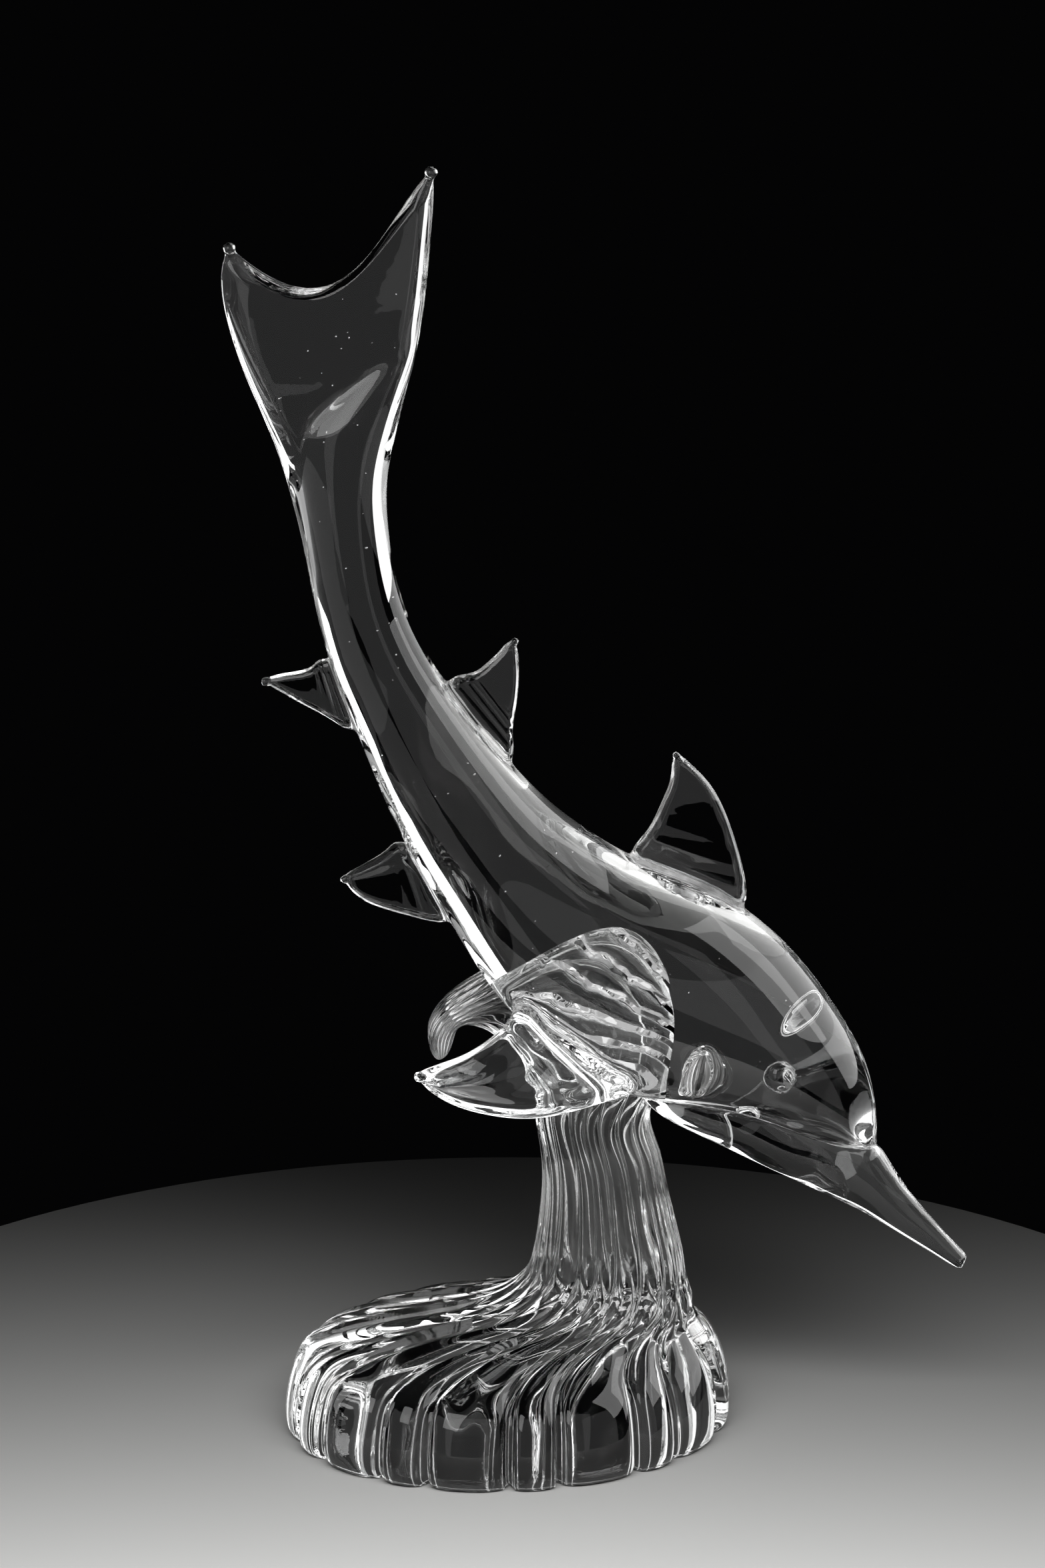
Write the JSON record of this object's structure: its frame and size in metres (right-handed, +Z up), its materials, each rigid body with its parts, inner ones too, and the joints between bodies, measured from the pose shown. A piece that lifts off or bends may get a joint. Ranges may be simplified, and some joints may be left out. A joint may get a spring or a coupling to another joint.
{
  "type": "glass dolphin sculpture",
  "caption": "Diving dolphin of clear solid glass on a ribbed glass wave with a broad lobed foot.",
  "frame": {"origin": "the middle of the foot's flat underside", "axes": "+Z up, +X the way the beak points, -Y the front as the picture shows it"},
  "size_m": [0.2646, 0.139, 0.4572],
  "materials": {
    "dolphin_glass": "clear solid glass, fire polished",
    "wave_glass": "clear solid glass, ribbed and fire polished"
  },
  "bodies": {
    "root": {"dolphin": "dolphin_glass", "wave_base": "wave_glass"}
  },
  "joints": []
}
